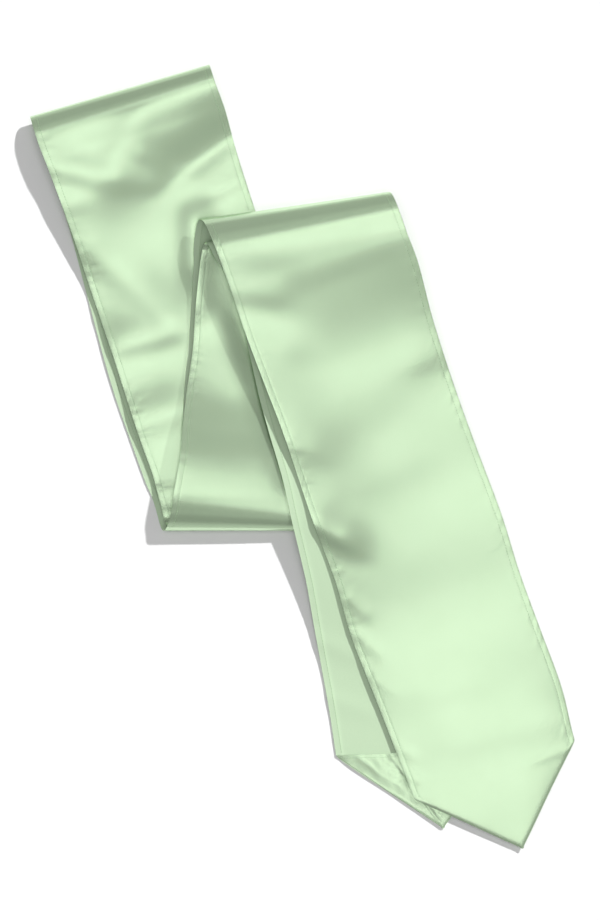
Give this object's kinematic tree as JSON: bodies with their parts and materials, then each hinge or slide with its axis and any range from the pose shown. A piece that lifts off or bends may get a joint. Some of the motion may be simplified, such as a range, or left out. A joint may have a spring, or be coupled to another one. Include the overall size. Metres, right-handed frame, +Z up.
{
  "type": "satin sash",
  "caption": "Long satin strip with narrow hems and pointed ends, doubled and laid in loose folds, to be worn as a sash or scarf.",
  "frame": {"origin": "on the surface the sash lies on, under the middle of its outline", "axes": "+X to the right and +Y to the top of the laid sash seen from above, +Z up"},
  "size_m": [0.4456, 0.6416, 0.0278],
  "materials": {
    "satin_face": "shiny satin face, mint green",
    "matt_back": "dull back of the satin, mint green"
  },
  "bodies": {
    "root": {"front_stretch": "satin_face", "front_point_facing": "satin_face", "under_middle_stretch": "matt_back", "loop_stretch_top": "satin_face", "loop_stretch_under": "matt_back", "top_middle_stretch": "satin_face", "back_end_stretch": "matt_back", "back_point_facing": "satin_face"}
  },
  "joints": []
}
